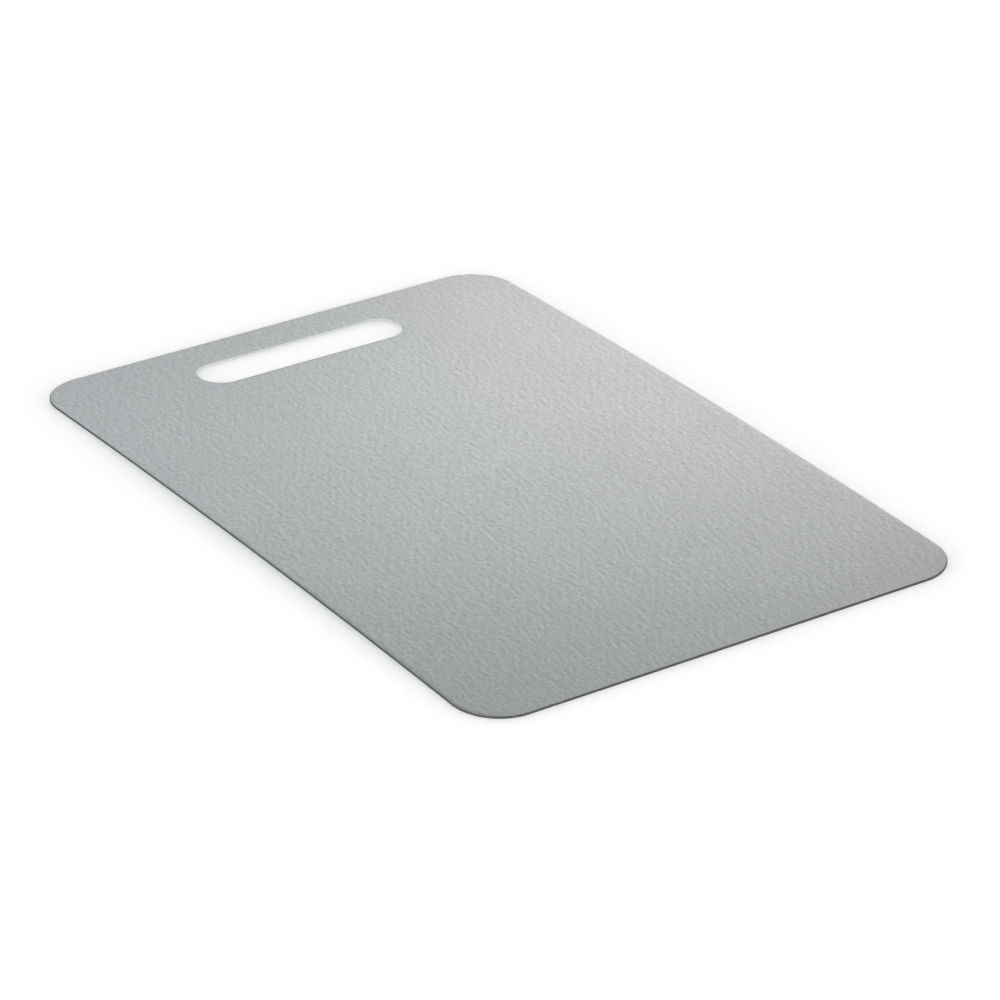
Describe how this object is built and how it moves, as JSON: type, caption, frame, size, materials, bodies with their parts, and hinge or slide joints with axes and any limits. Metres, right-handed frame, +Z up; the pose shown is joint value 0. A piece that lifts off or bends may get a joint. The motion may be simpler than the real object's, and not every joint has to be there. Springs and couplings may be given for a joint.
{
  "type": "cutting board",
  "caption": "Thin rectangular cutting board of embossed stainless steel sheet, slightly crowned, with rounded corners and a round-ended hand slot near a short end for carrying or hanging.",
  "frame": {"origin": "under the middle of the sheet's footprint, on the surface that the board lies on", "axes": "+X across the board, +Y along it towards the hand slot, +Z up"},
  "size_m": [0.22, 0.33, 0.0036],
  "materials": {
    "steel": "matt embossed grain"
  },
  "bodies": {
    "root": {"board_sheet": "steel"}
  },
  "joints": []
}
